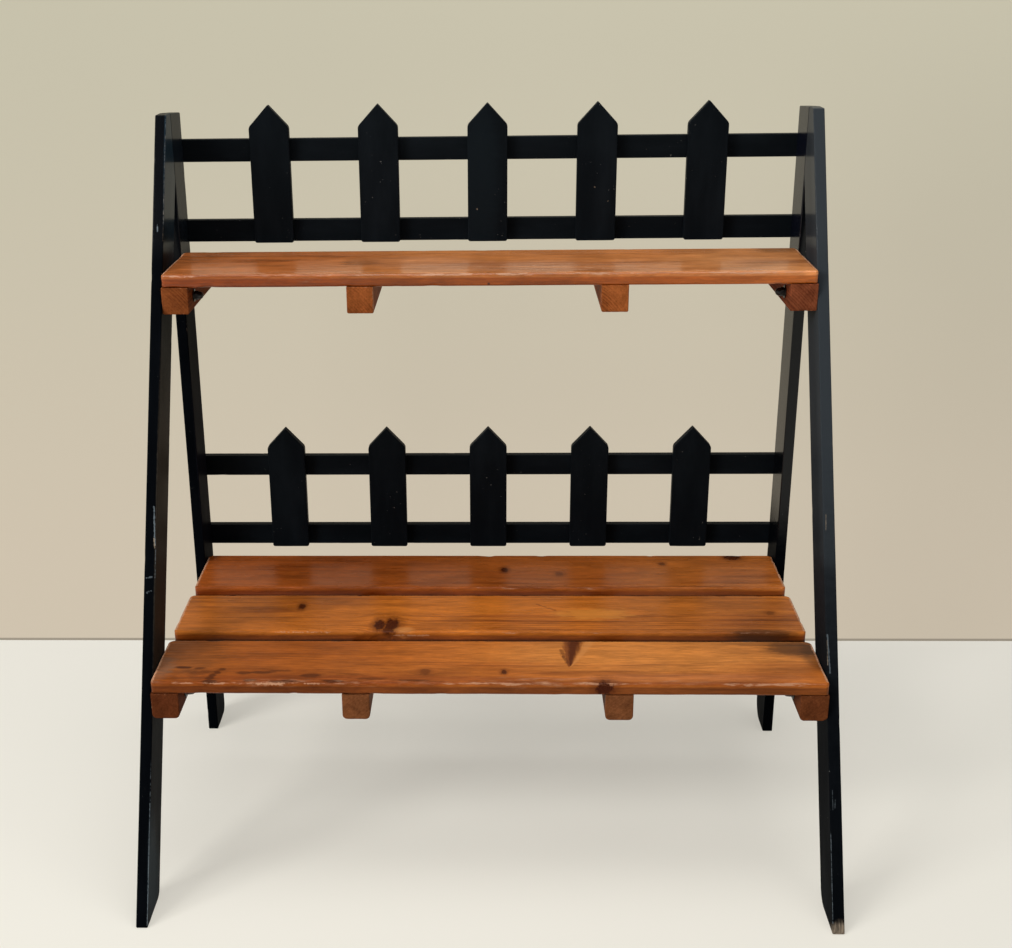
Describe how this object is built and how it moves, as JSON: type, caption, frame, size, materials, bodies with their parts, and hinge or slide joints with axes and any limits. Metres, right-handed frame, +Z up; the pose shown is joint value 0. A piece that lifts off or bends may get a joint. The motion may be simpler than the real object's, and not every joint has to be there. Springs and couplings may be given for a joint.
{
  "type": "plant stand",
  "caption": "Two-tier wooden plant stand: stained pine shelves between A-shaped black side frames, with a low black picket fence behind each shelf.",
  "frame": {"origin": "on the floor, at the middle of the stand's width and depth", "axes": "+Z up, the front faces -Y, +X is to the right as seen from the front"},
  "size_m": [0.837, 0.55, 0.889],
  "materials": {
    "black_paint": "semi-gloss black paint, chipped along its edges",
    "shelf_pine": "orange-brown stained pine with knots, satin varnish worn along the edges",
    "batten_pine": "orange-brown stained pine, satin varnish",
    "black_steel": "dull black steel",
    "zinc_steel": "dull zinc plate",
    "beech": "bare beech"
  },
  "bodies": {
    "root": {"front_leg_left": "black_paint", "front_leg_right": "black_paint", "rear_leg_left": "black_paint", "rear_leg_right": "black_paint", "upper_fence_rail_bottom": "black_paint", "upper_fence_rail_top": "black_paint", "lower_fence_rail_bottom": "black_paint", "lower_fence_rail_top": "black_paint", "upper_picket_1": "black_paint", "upper_picket_2": "black_paint", "upper_picket_3": "black_paint", "upper_picket_4": "black_paint", "upper_picket_5": "black_paint", "lower_picket_1": "black_paint", "lower_picket_2": "black_paint", "lower_picket_3": "black_paint", "lower_picket_4": "black_paint", "lower_picket_5": "black_paint", "upper_shelf_board": "shelf_pine", "lower_board_front": "shelf_pine", "lower_board_middle": "shelf_pine", "lower_board_rear": "shelf_pine", "upper_batten_left_end": "batten_pine", "upper_batten_left_inner": "batten_pine", "upper_batten_right_inner": "batten_pine", "upper_batten_right_end": "batten_pine", "lower_batten_left_end": "batten_pine", "lower_batten_left_inner": "batten_pine", "lower_batten_right_inner": "batten_pine", "lower_batten_right_end": "batten_pine", "shelf_bolts": "black_steel", "bolt_washers": "black_steel", "cap_nuts": "black_steel", "upper_board_screws": "zinc_steel", "lower_board_screws": "zinc_steel", "rail_screws": "zinc_steel", "picket_screws": "zinc_steel", "leg_joint_dowels": "beech"}
  },
  "joints": []
}
